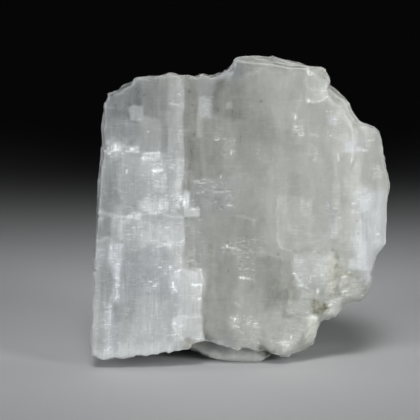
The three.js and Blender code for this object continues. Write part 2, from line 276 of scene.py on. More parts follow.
@dataclass(frozen=True)
class Frost(Patch):
    """A patch where the crystal has split into fine bright flakes.

    Attributes:
        frost: How many flakes there are, from 0 to 1.
        white: How much whiter the patch is as a whole.
        soft: How many squares its edges take to fade.
    """

    frost: float
    white: float = 0.0
    soft: float = 3.0

    def share(self, column: Array, row: Array) -> Array:
        """Gives how much of the patch is felt.

        Args:
            column: The columns of the places.
            row: Their rows.

        Returns:
            Values from 0 to 1.
        """
        seed = 70 + int(self.left + self.top) % 97
        column = column + 0.6 * self.soft * cloud(seed, (4.0, 5.0), column, row)
        row = row + 0.6 * self.soft * cloud(seed + 1, (4.0, 3.0), column, row)
        return self.inside(column, row, self.soft)


@dataclass(frozen=True)
class Crack:
    """A bright hairline crack, or the broken end of a blade, or a painted band of light or shade beside a step.

    Attributes:
        points: Columns and rows along it, by turns.
        white: How much whiter it is.
        width: Its width in squares.
        broken: How much of it is missing, from 0 to 1.
    """

    points: tuple[float, ...]
    white: float
    width: float = 1.3
    broken: float = 0.3

    def share(self, column: Array, row: Array) -> Array:
        """Gives how near a place is to the crack.

        Args:
            column: The columns of the places.
            row: Their rows.

        Returns:
            Values from 0 to 1.
        """
        row = row + CRACK_STRAY * cloud(81, (5.0, 9.0), column, row)
        column = column + CRACK_STRAY * cloud(82, (9.0, 5.0), column, row)
        nearest = np.full_like(column, np.inf)
        path = list(zip(self.points[::2], self.points[1::2]))
        for (ax, ay), (bx, by) in zip(path, path[1:]):
            dx, dy = bx - ax, by - ay
            along = np.clip(((column - ax) * dx + (row - ay) * dy) / (dx * dx + dy * dy), 0, 1)
            nearest = np.minimum(nearest, np.hypot(column - ax - along * dx, row - ay - along * dy))
        seed = 100 + int(self.points[0])
        held = ease((cloud(seed, (5.0, 5.0), column, row) + 1) / 2 / max(self.broken, 0.05) - 0.3)
        return CRACK_STRENGTH * ease(1.15 - nearest / self.width) * held


def each(kind: type, *rows: tuple) -> tuple:
    """Makes one mark of the given kind from each row of its values."""
    return tuple(kind(*row) for row in rows)


def strongest(slabs: tuple[Slab, ...], column: Array, row: Array, least: float = 0.0) -> Array:
    """Gives the strongest of some slabs at each place, or the least value where that is more."""
    return np.maximum(least, np.max([slab.white * slab.share(column, row) for slab in slabs], axis=0))


# Each slab lies over the ones before it.
SLABS = each(
    Slab,
    (80, 400, 40, 380, 160, 4), (184, 272, 60, 365, 150, 4),
    # the left slab, from the top down
    (80, 143, 80, 142, 126, 6), (143, 158.5, 70, 120, 135, 2.5), (158.5, 168, 70, 130, 144),
    (168, 184, 76, 160, 163, 3.5), (175, 184, 86, 141, 175, 4), (140, 160, 121, 153, 157),
    (126, 141, 122, 141, 147, 2.5), (128.5, 142, 107, 121, 165, 1.6, Lean.LEFT), (108, 128, 121, 140, 138, 5),
    (160, 167, 127, 159, 138, 2), (80, 184, 156, 214, 166, 4), (80, 112, 140, 212, 140, 5),
    (112, 121, 160, 200, 143, 4), (121, 141, 160, 205, 165, 5), (141, 152, 158, 213, 174, 2.5),
    (152.5, 167, 162, 194, 181, 1.8), (168, 177, 160, 205, 170), (176, 183.5, 158, 196, 183, 2),
    (138, 168, 200, 213, 193, 5), (80, 184, 213, 245, 176, 2.5), (80, 111, 214, 237, 140, 2.5),
    (111, 140, 221, 242, 168, 4), (127, 141, 213, 221, 193), (142, 182, 226, 245, 184, 6),
    (80, 184, 246, 372, 170, 2.5), (80, 110, 240, 300, 150, 4), (120, 141, 249, 302, 158),
    (141, 166, 263, 296, 160, 3.5), (141, 160, 249, 262, 163), (109, 121, 244, 276, 182, 4),
    (80, 105, 300, 348, 156), (112, 137, 300, 321, 149, 4), (140, 180, 298, 352, 173, 6),
    (112, 140, 322, 352, 165, 6), (80, 190, 343, 372, 186, 9),
    # the corner block and the ledge
    (178, 201.5, 269, 318, 184, 1.5), (192.5, 201.5, 269, 300, 186, 2), (173, 202, 316, 338, 187),
    # the middle
    (184, 198, 82, 189, 141, 1), (184.5, 198, 218, 266, 146, 1), (184, 200, 78, 215, 139, 4),
    (184, 191, 137, 189, 134, 2), (198, 205, 97, 137, 168, 2), (200, 212, 101, 119, 172), (198, 213, 76, 98, 150),
    (213, 223, 78, 114, 122, 5), (223, 246, 80, 121, 134, 7), (226.5, 232, 104.5, 110.5, 160, 1.6),
    (232, 236.5, 112, 139, 126), (204, 223, 120, 180, 144, 5), (223, 262, 121, 215, 153, 7),
    (262, 300, 150, 245, 162, 7), (184, 240, 218, 265, 150), (240, 251, 219, 245, 149),
    (205, 235, 256, 302, 142, 4), (236, 260, 244, 300, 148, 5), (260, 286, 256, 312, 140, 6),
    (204, 240, 302, 338, 142, 4), (208, 229, 318, 336, 142, 4), (232, 264, 304, 346, 154, 5),
    (262, 286, 318, 346, 160, 6),
    # the crown and the right side; the crown's slabs from column 246 to 330 are darker than the crown looks,
    # painted shade against the light from above on its upward top
    (230, 246, 50, 77, 130, 5), (246, 259, 50, 73, 132, 4), (259, 330, 50, 80, 134, 6), (256, 306, 72, 112, 157, 7),
    (271, 293, 78, 129, 168), (290, 305, 76, 104, 164), (293, 345, 104, 142, 172, 5), (305.5, 336, 60, 103, 172),
    (300, 342, 141, 242, 170, 6), (277.5, 304, 196, 250, 172, 1.2), (300, 342, 200, 252, 172, 5),
    (340, 400, 152, 196, 177, 6), (341, 352, 190, 270, 176, 5), (350, 400, 190, 238, 185, 9),
    (352, 400, 235, 284, 201, 9), (333, 338.5, 150, 238, 183), (262, 281, 256, 312, 144, 4),
    (281, 296, 256, 292, 156, 2), (260, 284, 250, 258, 157, 2), (266, 288, 288, 308, 141, 5),
    (294, 331, 254, 290, 176), (329, 341, 250, 300, 188, 4), (302, 322, 291, 301, 162),
    (338, 364, 268, 303, 186, 6), (350, 364, 260, 270, 203, 5), (286, 314, 303, 318, 152, 2.5),
    (282, 302, 312, 320, 140, 2.5), (284, 316, 320, 346, 166, 4), (306, 320, 318, 345, 212, 4),
    (282, 303, 344, 358, 170, 4), (326, 344, 300, 318, 196),
    # the recessed foot under the ledge; its first slab is whiter than the foot looks, painted light against the
    # shade that falls in the recess
    (184, 205.5, 338, 372, 165, 1.6), (206, 236, 338, 372, 146), (236, 259, 346, 372, 146),
    (259, 274, 350, 372, 122, 2.5), (188, 272, 358, 372, 176, 4),
    # the small bracket beside the left slab, and lights at the right shoulder
    (184, 190.5, 189, 212, 180, 1.8), (184, 199.5, 208, 217.5, 184, 1.5), (336, 392, 96, 157, 181, 5),
    (342, 367, 143.5, 151.5, 189, 4), (342, 361, 152.5, 160, 176, 2.5), (328, 337, 117, 126, 192, 2.4),
    (303, 331, 291, 300.5, 179, 2), (287, 312, 302, 317, 172, 2.5), (325, 335, 256, 300, 190),
    # Painted light: the slab from column 312 to 326 whitens the brown spot's hollow against the shade under its
    # overhang.
    (336, 347, 257, 300, 186), (312, 326, 299, 314, 180, 4), (364, 390, 196, 246, 199, 9),
)

FROSTS = each(
    Frost,
    (109, 129, 138, 156, 1, 26, 5), (150, 184, 150, 212, 0.6, 4, 8), (118, 150, 205, 240, 0.6, 6, 6),
    (113, 122, 142, 152, 1, 30, 4), (129, 140, 146.5, 152.5, 1, 42, 2), (141, 161, 153, 160.5, 1, 40, 2.5),
    (174, 188, 193, 208, 1, 28, 4), (170, 184, 86, 108, 0.5, 8, 4), (176, 184, 130, 196, 0.5, 4, 4),
    (199, 213, 97, 119, 0.5, 6, 4), (112, 128, 118, 140, 0.4, 6, 5), (140, 184, 160, 214, 0.3, 0, 8),
    (140, 168, 198, 214, 0.6, 8, 5), (128, 142, 213, 222, 0.5, 6), (130, 182, 222, 250, 0.4, 4, 6),
    (95, 106, 246, 258, 1, 20), (109, 121, 244, 276, 0.8, 8, 4), (115.5, 120.5, 262, 288, 0.9, 14),
    (112, 120, 286, 303, 0.8, 14), (104, 112, 300, 352, 0.9, 16), (95, 106, 312, 338, 0.7, 10),
    (140, 166, 262, 290, 0.5, 2, 5), (170, 178, 268, 292, 1, 26), (159, 176, 260, 274, 0.8, 6),
    (147, 158, 278, 290, 0.9, 8), (124, 130, 305, 311, 0.8, 14, 2), (129, 137, 325, 342, 0.4, 16, 4),
    (140, 180, 298, 350, 0.3, 0, 8), (192, 201, 285, 300, 0.4, 6, 2), (172, 184, 316, 345, 0.6, 6),
    (192, 238, 178, 212, 0.62, 4, 6), (193, 216, 180, 188, 1, 14), (214, 222, 126, 144, 0.7, 12),
    (223, 236, 139, 158, 0.9, 16, 4), (254, 260, 142, 162, 0.4, 12, 4), (222, 262, 240, 256, 0.7, 2, 4),
    (238, 256, 258, 286, 0.9, 6, 4), (235, 262, 316, 346, 0.9, 6, 4), (230, 240, 318, 332, 0.9, 16),
    (249, 260, 320, 346, 1, 16), (246, 300, 58, 76, 0.4, 6, 6), (306, 330, 88, 104, 0.6, 12),
    (291, 304, 122, 138, 0.6, 10), (291, 297, 112, 119, 1, 16, 2.5), (309, 317, 146, 162, 0.5, 14, 4),
    (326, 342, 200, 240, 0.4, 6, 4), (324, 340, 110, 142, 0.4, 4, 4), (300, 310, 199, 216, 0.6, 10),
    (352, 372, 186, 214, 0.5, 10, 4), (359, 368, 196, 212, 0.5, 16), (374, 384, 168, 180, 0.8, 16),
    (294, 304, 256, 268, 0.4, 7), (92, 184, 246, 352, 0.35, 0, 6), (100, 184, 156, 246, 0.32, 0, 6),
    (270, 320, 300, 352, 0.45, 0, 5), (313, 324, 246, 276, 0.6, 10), (184, 203, 218, 266, 0.5, 3),
    (326, 336, 282, 300, 0.8, 16), (338, 372, 272, 302, 0.6, 2, 4), (342, 350, 273, 280, 0.7, 8, 2),
    (341, 350, 288, 298, 0.8, 8, 2), (294, 312, 274, 291, 0.6, 6), (326, 338, 302, 316, 1, 10),
    (280, 312, 318, 346, 0.4, 4, 4), (284, 300, 344, 354, 0.5, 8), (357, 368, 256, 272, 0.5, 8),
)

CRACKS = each(
    Crack,
    ((109, 152, 119, 149, 129, 152, 141, 153, 152, 154, 161, 154), 40, 1.3, 0.4),
    ((100, 211, 112, 213), 26, 1.3, 0.1),
    ((112, 214, 128, 216, 145, 213, 160, 213, 172, 216, 183, 217), 26, 1.3, 0.4),
    ((119, 243, 127, 247, 135, 249, 148, 246, 160, 246, 172, 243, 183, 241), 20, 1.3, 0.4),
    ((153, 170.5, 162, 170.5), 60, 1.6, 0.1), ((155, 185.5, 164, 185.5), 18, 2, 0.2),
    ((170, 104.5, 179, 105.5), 28, 1.4), ((106, 107, 121, 110), 16, 1.6), ((127, 121, 142, 121.5), 16, 1.2, 0.2),
    ((131, 107, 142, 107.5), 16, 1.2, 0.2), ((115, 187, 122, 190), 22, 1.4, 0.2),
    ((192, 181, 200, 184, 206, 183), 26, 1.3, 0.4), ((205, 189, 212, 192, 222, 193), 34, 1.1),
    ((215, 190, 231, 190), -22, 1, 0.2), ((184, 217.5, 200, 217.5), -24, 1.1, 0.1),
    ((236, 216, 243, 217, 249, 219.5, 254, 221), 30, 1.3, 0.2), ((254, 221, 255, 230, 255, 238), 12, 1.6, 0.4),
    ((225, 246, 232, 249, 240, 250.5), 50, 1.3, 0.2), ((248, 252, 258, 254.5), 26, 1.2, 0.2),
    ((248, 240, 250, 250), 22, 1.4, 0.4), ((240, 278.5, 246, 279, 250, 280.5), 70, 1.5, 0.1),
    ((236, 303, 241, 309), 28, 1.6), ((262, 340, 272, 343, 284, 346), 14, 1.5),
    ((179, 269.5, 190, 269, 201, 270), 30, 1.2, 0.2), ((192, 284, 197, 284.5, 201, 285.5), 66, 1.5, 0.1),
    ((192.5, 271, 192.5, 300), 10, 1.2), ((201.5, 270, 201.5, 300, 202, 337), 20, 1.2),
    ((174, 316, 184, 315, 201, 316.5), 22, 1.5, 0.2), ((173, 316, 173.5, 325, 178, 333, 186, 344), 18, 1.8),
    ((183.7, 145, 183.7, 175), 40, 1.2, 0.9), ((181, 241, 180.5, 262), 16, 1.5, 0.4),
    ((277.5, 200, 277, 225, 278, 242, 282, 249, 292, 251), 17, 1.4, 0.15), ((188, 243, 204, 243), 10, 1.3, 0.5),
    ((186, 261, 194, 264, 202, 265), 16, 1.4, 0.6), ((262, 252, 272, 257, 284, 258), 13, 1.6),
    ((205, 311, 225, 321, 240, 324), 8, 1.4), ((281, 268, 282, 285, 290, 292, 302, 297), 11, 1.5, 0.2),
    # Painted light and shade beside steps that the lamps light or shade: a lighter and a darker band along the
    # right shoulder, a lighter and a darker line along the crown's top, and, first on the line after these, a
    # lighter mark in a shaded crevice at the left edge.
    ((333, 92, 339, 98, 345, 106, 351, 116, 354, 122), 12, 2.4, 0),
    ((332, 99, 338, 107, 344, 117, 349, 128, 350, 136), -14, 2.4, 0),
    ((262, 62.5, 280, 65.5, 304, 67.5), 16, 1.9, 0), ((238, 66.5, 262, 68, 280, 70, 304, 72), -10, 2, 0),
    ((98, 146, 103, 147, 108, 150), 30, 2, 0), ((307, 101, 313, 104, 320, 102, 326, 99), 34, 1.7, 0.2),
    ((292, 130, 300, 131, 303, 136), 34, 1.4, 0.4), ((310, 134, 318, 137), 26, 1.2),
    ((342, 151.5, 354, 151.5, 367, 151), 14, 1.2, 0.1), ((363, 152, 367, 153), 40, 1.3, 0.1),
    ((368, 142, 375, 142), 34, 1.2, 0.1), ((337, 153, 337.5, 160), 40, 1.2, 0.2),
    ((293, 260, 294, 270, 297, 278, 304, 286, 311, 290, 322, 291), 16, 2.4), ((302, 300, 330, 302), -18, 1.2, 0.2),
    ((291.5, 257, 292, 263, 292, 270), 14), ((292.5, 271, 296, 276), 20), ((297.5, 279, 300, 282), 13),
    ((302.5, 286, 308, 289), 24, 1.4), ((311, 290, 314, 291), 12), ((158, 262, 161, 266, 163, 271), 30, 1.2, 0.5),
    ((165, 272, 169, 267, 176, 263), 32, 1.2, 0.5), ((124, 262, 140, 263.5, 157, 263), 9),
    ((111, 284, 110.5, 300, 109, 320, 108, 345), 24, 1.3, 0.9), ((119, 276, 117.5, 284, 116, 300), 20, 1.3, 0.4),
    ((141, 250, 141, 300), -6, 1.4), ((336.5, 254, 337, 266, 338, 280, 340, 297), -16, 1.4, 0.8),
    ((334.5, 260, 334.5, 285, 334, 299), 16, 1.6, 0.4), ((344, 272, 352, 271, 359, 280), -26, 1.6, 0.6),
    ((330, 302, 340, 301, 352, 297, 364, 296), 30, 1.4, 0.6), ((325.5, 310.5, 331, 310.5), -60, 1.1, 0),
    ((313, 317, 318, 320, 311, 332, 307, 342), 22, 1.5, 0.4), ((286, 306, 288, 313, 297, 318, 312, 319), 18, 1.5),
    ((286, 319, 300, 320.5), -16), ((280, 345, 296, 342, 310, 345), 16, 1.3, 0.4),
    ((191, 338, 205, 339, 215, 343, 228, 348), 24), ((205.5, 341, 205.5, 356), 20, 1, 0.2),
    ((280, 227, 300, 232, 318, 236), 8, 1.4),
)

# Painted glints, small highlights painted into the milk: column, row and size in squares.
GLINTS = (
    (307.5, 74, 1.8), (310, 76, 1.6), (295, 118, 1.9), (150.5, 280.5, 1.6), (173, 283, 2), (175, 288, 1.5),
    (244, 279, 1.6), (148.5, 132, 1.4), (116, 147, 1.8), (133, 149.5, 2), (190.5, 79.5, 1.2), (346, 277, 1.5),
    (291.5, 339, 1.6), (288, 347, 1.6), (308, 102, 1.6), (332, 307, 1.8), (106.5, 192.5, 1.5), (160, 266, 1.3),
    (170, 265, 1.2), (178.5, 270, 1.4), (235, 320.5, 1.5), (256, 325, 1.5), (227, 247, 1.3), (322, 274, 1.2),
    (318, 264, 1.3), (379, 236, 1.8), (127, 171.5, 1.7), (181, 199, 2.2), (184, 203, 2.2), (199.5, 298, 1.5),
    (318, 291.5, 2.6), (345.5, 293, 2.4), (221, 177.5, 1.4), (217, 141, 1.6), (231, 154, 1.4), (294, 274, 1.6),
    (116.5, 330, 1.3),
)

# Dark specks: column, row and size in squares.
SPECKS = (
    (189.5, 93, 1.6), (144.5, 96.5, 1.2), (194, 135.5, 1.3), (261, 102.5, 1.6), (336.5, 265.5, 1.9),
    (329, 310.5, 1.1), (327, 310.5, 1), (122.5, 240.5, 1.3), (357, 221, 1.4), (358, 234, 1.4), (346, 295.5, 1.3),
    (278, 255, 1.6), (341, 296, 2), (338, 258, 1.6), (333, 250, 1.6), (319, 315, 1.8),
)

# Iron stain in the crevices, most of it in the lower right corner.
STAINS = each(
    Slab,
    (334, 341, 250, 300, 0.42), (343, 360, 270.5, 276, 0.55, 4), (350, 360, 274, 284, 0.40, 4),
    (338, 370, 272, 302, 0.20, 5), (315, 327, 302, 315, 1.3, 3.5), (322, 329, 303, 312, 0.7, 2),
    (206, 212, 244, 253, 0.35, 2), (313, 332, 310, 319, 0.45, 4), (306, 318, 318, 345, 0.22, 4),
    (330, 338, 262, 300, 0.30), (272, 300, 278, 304, 0.30, 5), (326, 336, 262, 302, 0.22, 4),
    (184, 206, 338, 356, 0.30, 2), (258, 274, 350, 360, 0.55), (262, 290, 258, 310, 0.14, 9),
)

# Where steps of the face stay crisp, and how much.
KEPT_STEPS = each(
    Slab,
    (114, 168, 144, 160, 0.12, 4), (184, 203, 186, 220, 0.20, 4), (176, 208, 264, 345, 0.25, 4),
    (286, 345, 250, 345, 0.22, 5),
)

# Where the form is worn round, and how much.
WORN = each(
    Slab,
    (98, 122, 84, 106, 0.4, 5), (92, 114, 136, 162, 0.45, 7), (230, 330, 48, 74, 0.35, 6),
    (328, 352, 240, 292, 1, 5), (336, 386, 250, 306, 0.8, 6), (310, 332, 296, 316, 1, 4),
    (326, 364, 78, 165, 0.85, 8), (346, 362, 160, 270, 0.85, 8),
)

# Where the outline is shifted: column, row, squares to the right, squares down and reach.
NUDGES = (
    (134, 80, -1, -2.5, 10), (109, 93, -2.5, -1, 9), (118, 92, 0, -2, 6), (127, 89, 0, -1.5, 6),
    (101, 121, 2, 0, 8), (233, 61, -3, -3, 6), (208, 73, 0, 2, 8), (256, 53, 0, 1, 7), (243, 57, 0, -2.2, 10),
    (290, 56, 0, 3, 12), (336, 87, -3.4, 0.6, 7), (326, 84, 3.2, 0, 5), (328, 74, -1.5, 0, 5),
    (339, 92, -2.4, 0, 7), (363, 120, -1, 2.5, 10), (379, 133, 3, 0, 9), (375, 122, -1.5, 3, 7),
    (355, 113, -1, -1, 6), (321, 70, 1, -1.6, 8), (346, 101, 2.6, 0, 7), (387, 188, 3.5, 0, 18),
    (380, 263, -3.8, 0, 12), (383, 247, 1.5, 1, 7), (103, 102, -2.2, 0, 8), (360, 298, 5, 4, 9),
    (370, 286, 3, 0, 8), (331, 318, 3, 0, 5), (318, 326, -2, 0, 10), (288, 355, 1, 1, 6), (266, 357, 0, -3, 6),
    (120, 361, 0, -3.5, 14), (172, 356, 0, -3.5, 14), (184, 353, 0, -3.5, 7),
)

# Where the crystal looks cooler, and how much.
COOL = each(
    Slab,
    (60, 143, 60, 372, 0.75, 8), (130, 184, 142, 372, 0.75, 8), (140, 184, 60, 150, 0.5, 6),
    (60, 145, 60, 125, 0.95, 8), (60, 112, 140, 300, 0.9, 6), (104, 122, 240, 350, 1, 4),
    (160, 180, 250, 300, 1, 6), (176, 204, 266, 342, 0.62, 4), (184, 206, 216, 268, 0.4, 4),
    (176, 203, 186, 222, 0.6), (108, 182, 246, 302, 1, 6), (199, 213, 76, 120, 0.7, 4), (215, 246, 56, 80, 0.8, 5),
    (328, 338, 116, 127, 0.7), (342, 368, 142, 153, 0.7), (354, 390, 190, 285, 0.8, 12),
    (294, 326, 254, 292, 0.35, 4), (205, 236, 340, 362, 0.5), (192, 236, 178, 216, 0.5, 6),
    (325, 334, 198, 240, 0.5, 4),
)

# The crown and the right shoulder, whose relief is cut by this much.
CALM = Slab(215, 345, 30, 92, 0.65, 8)


# ---- the crystal

# Noise in the material: its size in mm, its detail, roughness and crookedness, and the range of it that is
# used and what that becomes. Without a range it is used whole.
PATTERNS = {
    # fine upright fibres and where they are plain, soft clouds in the crystal, and thin level veils across it
    "fibres": ((0.16, 0.4, 2.2), 3.0, 0.6, 0.3, 0.3, 0.7, -0.06, 0.06),
    "plain": ((1.6, 1.6, 2.6), 2.0, 0.5, 0.0, 0.36, 0.62, 0.2, 1.25),
    "clouds": ((0.8, 0.8, 1.3), 4.0, 0.6, 0.0, 0.3, 0.7, -0.045, 0.045),
    "veils": ((1.6, 1.6, 0.22), 2.0, 0.5, 0.0, 0.60, 0.75, 0.0, 0.06),
    # hairline flakes, level and upright, the gaps between them and the patches that they lie in
    "level": ((0.55, 0.55, 0.16), 2.0, 0.55, 0.7, 0.54, 0.76, 0.0, 0.62),
    "upright": ((0.16, 0.4, 0.45), 2.0, 0.55, 0.7, 0.58, 0.80, 0.0, 0.50),
    "gaps": ((0.5, 0.5, 0.2), 2.0, 0.5, 0.7, 0.30, 0.46, -0.20, 0.0),
    "patches": ((0.9, 0.9, 0.7), 2.0, 0.5, 0.0, 0.36, 0.60, 0.20, 1.0),
    # small uneven spots of iron stain, and the sheen of handled places
    "spots": ((0.35, 0.35, 0.45), 3.0, 0.5, 0.0, 0.35, 0.62, 0.25, 1.0),
    "handled": ((0.4, 0.4, 1.2), 3.0, 0.5, 0.0, 0.3, 0.7, -0.08, 0.08),
    # relief too fine for the mesh
    "grain": ((0.22, 0.22, 0.22), 3.0, 0.6, 0.0),
    "grooves": ((0.16, 0.4, 1.4), 3.0, 0.6, 0.0),
    "terraces": ((1.1, 1.1, 3.2), 3.0, 0.55, 0.3),
}


@dataclass(frozen=True)
class BerylloniteFinish:
    """Milky beryllonite, broken along its cleavage: vitreous where clear, pearly and white where it has split.

    Attributes:
        ior: Mean refractive index of the mineral.
        clear: Colour where the crystal is clearest and the dark inside shows.
        milky: Colour of plain milk, halfway.
        white: Colour of the flakes and broken blade ends.
        warm: Faint greenish tint of the thick, clear middle.
        cool: Faint bluish tint of the thin outer slabs.
        stain: Iron stain in the crevices.
        depth: How far light wanders inside, in mm.
    """

    ior: float = 1.555
    clear: str = "#757775"
    milky: str = "#B9BBB9"
    white: str = "#FBFCFC"
    warm: str = "#FFFFF8"
    cool: str = "#F9FBFF"
    stain: str = "#A69C72"
    depth: float = 2.2

    def build(self) -> bpy.types.Material:
        """Makes the material.

        Returns:
            The material, with its patterns in real millimetres.
        """
        material = bpy.data.materials.new("milky_beryllonite")
        material.use_nodes = True
        tree = material.node_tree
        tree.nodes.clear()
        add = partial(add_node, tree)
        place = add("TexCoord").outputs["Object"]
        noise = {}
        for name, (size, detail, rough, crooked, *reach) in PATTERNS.items():
            scaled = add("Mapping", {"Vector": place, "Scale": tuple(1 / (s * MM) for s in size)})
            links = {"Vector": scaled, "Scale": 1.0, "Detail": detail, "Roughness": rough, "Distortion": crooked}
            noise[name] = add("TexNoise", links)
            if reach:
                noise[name] = add("MapRange", (noise[name], *reach))
        marks = ("milk_and_painted_light", "frost", "cool", "stain", "split")
        milk_and_painted_light, frost, cool, stain, split = (add("Attribute", attribute_name=name).outputs["Fac"] for name in marks)

        # The fibres are plainest in the cool outer slabs.
        plain = add("Math", (add("MapRange", (cool, 0.3, 0.8, 0.25, 1.0)), noise["plain"]), operation="MULTIPLY")
        fibres = add("Math", (noise["fibres"], plain), operation="MULTIPLY")
        # The flakes catch the light where the crystal has split.
        lit = add("Math", (noise["level"], noise["upright"]), operation="MAXIMUM")
        lit = add("Math", (lit, noise["gaps"]), operation="ADD")
        bright = add("Math", (frost, noise["patches"]), operation="MULTIPLY")
        bright = add("Math", (bright, lit), operation="MULTIPLY")
        for part in (fibres, noise["clouds"], noise["veils"], bright):
            milk_and_painted_light = add("Math", (milk_and_painted_light, part), operation="ADD")
        milk_and_painted_light = add("Clamp", (milk_and_painted_light,))

        # The milk, painted highlights and shade included, sets the colour.
        ramp = add("ValToRGB", (milk_and_painted_light,))
        stops = ramp.color_ramp.elements
        stops[0].color, stops[1].color = linear(self.clear), linear(self.white)
        middle = stops.new(0.5)
        middle.color = linear(self.milky)
        tint = add("Mix", {0: cool, 6: linear(self.warm), 7: linear(self.cool)}, data_type="RGBA").outputs[2]
        tinted = add("Mix", {0: 1.0, 6: ramp, 7: tint}, data_type="RGBA", blend_type="MULTIPLY").outputs[2]
        stained = {0: add("Math", (stain, noise["spots"]), operation="MULTIPLY"), 6: tinted, 7: linear(self.stain)}
        colour = add("Mix", stained, data_type="RGBA", blend_type="MULTIPLY").outputs[2]

        # Clear places have a glassy sheen and let a little light through, and white ones are pearly.
        rough = add("Math", (add("MapRange", (milk_and_painted_light, 0.0, 1.0, 0.30, 0.50)), noise["handled"]), operation="ADD")
        clear = add("MapRange", (milk_and_painted_light, 0.0, 0.8, 0.08, 0.0))
        # Fine grooves everywhere, rougher where the crystal has split.
        rougher = add("MapRange", (frost, 0.0, 1.0, 0.35, 1.4))
        grain = add("Math", (noise["grain"], rougher), operation="MULTIPLY")
        grooves = add("Math", (noise["grooves"], 0.7), operation="MULTIPLY")
        height = add("Math", (grooves, grain), operation="ADD")
        # On the sides and the ends the cleavage is stepped in small terraces.
        steps = add("Math", (add("Math", (noise["terraces"], 22.0), operation="MULTIPLY"),), operation="FLOOR")
        split = add("Math", (split, 5.0), operation="MULTIPLY")
        height = add("Math", (height, add("Math", (steps, split), operation="MULTIPLY")), operation="ADD")
        surface = {
            "Base Color": colour,
            "Roughness": rough,
            "IOR": self.ior,
            "Transmission Weight": clear,
            "Subsurface Weight": 1.0,
            "Subsurface Radius": (1.0, 1.0, 0.97),
            "Subsurface Scale": self.depth * MM,
            "Normal": add("Bump", {"Height": height, "Strength": 1.0, "Distance": 0.012 * MM}),
        }
        add("OutputMaterial", {"Surface": add("BsdfPrincipled", surface, subsurface_method="RANDOM_WALK")})
        return material


@dataclass
class FrontMap:
    """How far forward the crystal's front stands, over a grid of small cells.

    Attributes:
        heights: The y of the front at each cell, in mm, row by row from the bottom.
        there: 1 at the cells that the face covers, 0 elsewhere.
        corner: The x and z of the first cell, in mm.
        step: The distance between cells, in mm.
    """

    heights: Array
    there: Array
    corner: tuple[float, float]
    step: float

    @classmethod
    def of(cls, piece: bpy.types.Object, limit: float = -0.2, step: float = 0.12) -> FrontMap:
        """Feels the front of a piece.

        Args:
            piece: The object.
            limit: The y behind which a place no longer counts as the face, in mm.
            step: The distance between cells, in mm.

        Returns:
            The map.
        """
        work = bmesh.new()
        work.from_mesh(piece.data)
        tree = BVHTree.FromBMesh(work)
        work.free()
        low, high = np.array(CAD_BOX) / MM
        across, up = np.arange(low[0], high[0], step), np.arange(low[2], high[2], step)
        heights, well_in_front = np.full((len(up), len(across)), np.nan), -30.0
        for line, z in enumerate(up):
            for place, x in enumerate(across):
                hit = tree.ray_cast(Vector((x, well_in_front, z)) * MM, Vector((0, 1, 0)))[0]
                if hit is not None:
                    heights[line, place] = hit.y / MM
        foot_top, foot_front = 2.7, -4.3
        recess = (up[:, None] < foot_top) & (heights > foot_front)
        there = np.where(np.isnan(heights) | (heights > limit) | recess, 0.0, 1.0)
        return cls(np.nan_to_num(heights) * there, there, (low[0], low[2]), step)

    def blur(self, values: Array, width: float) -> Array:
        """Blurs a grid.

        Args:
            values: The grid's values.
            width: The blur's standard deviation, in mm.

        Returns:
            The blurred values.
        """
        reach = int(3 * width / self.step) + 1
        kernel = np.exp(-0.5 * (np.arange(-reach, reach + 1) * self.step / width) ** 2)
        kernel /= kernel.sum()
        for axis in (0, 1):
            values = np.apply_along_axis(np.convolve, axis, values, kernel, "same")
        return values

    def smooth(self, width: float) -> Array:
        """Gives the front's heights, blurred over the cells that it covers."""
        return self.blur(self.heights, width) / np.maximum(self.blur(self.there, width), 1e-3)

    def sample(self, values: Array, places: Array) -> Array:
        """Reads a grid at places between its cells.

        Args:
            values: The grid's values.
            places: The places, in mm.

        Returns:
            The value at each place.
        """
        across = np.clip((places[:, 0] - self.corner[0]) / self.step, 0, values.shape[1] - 1.001)
        up = np.clip((places[:, 2] - self.corner[1]) / self.step, 0, values.shape[0] - 1.001)
        i, j = across.astype(int), up.astype(int)
        u, v = across - i, up - j
        below = values[j, i] * (1 - u) + values[j, i + 1] * u
        above = values[j + 1, i] * (1 - u) + values[j + 1, i + 1] * u
        return below * (1 - v) + above * v


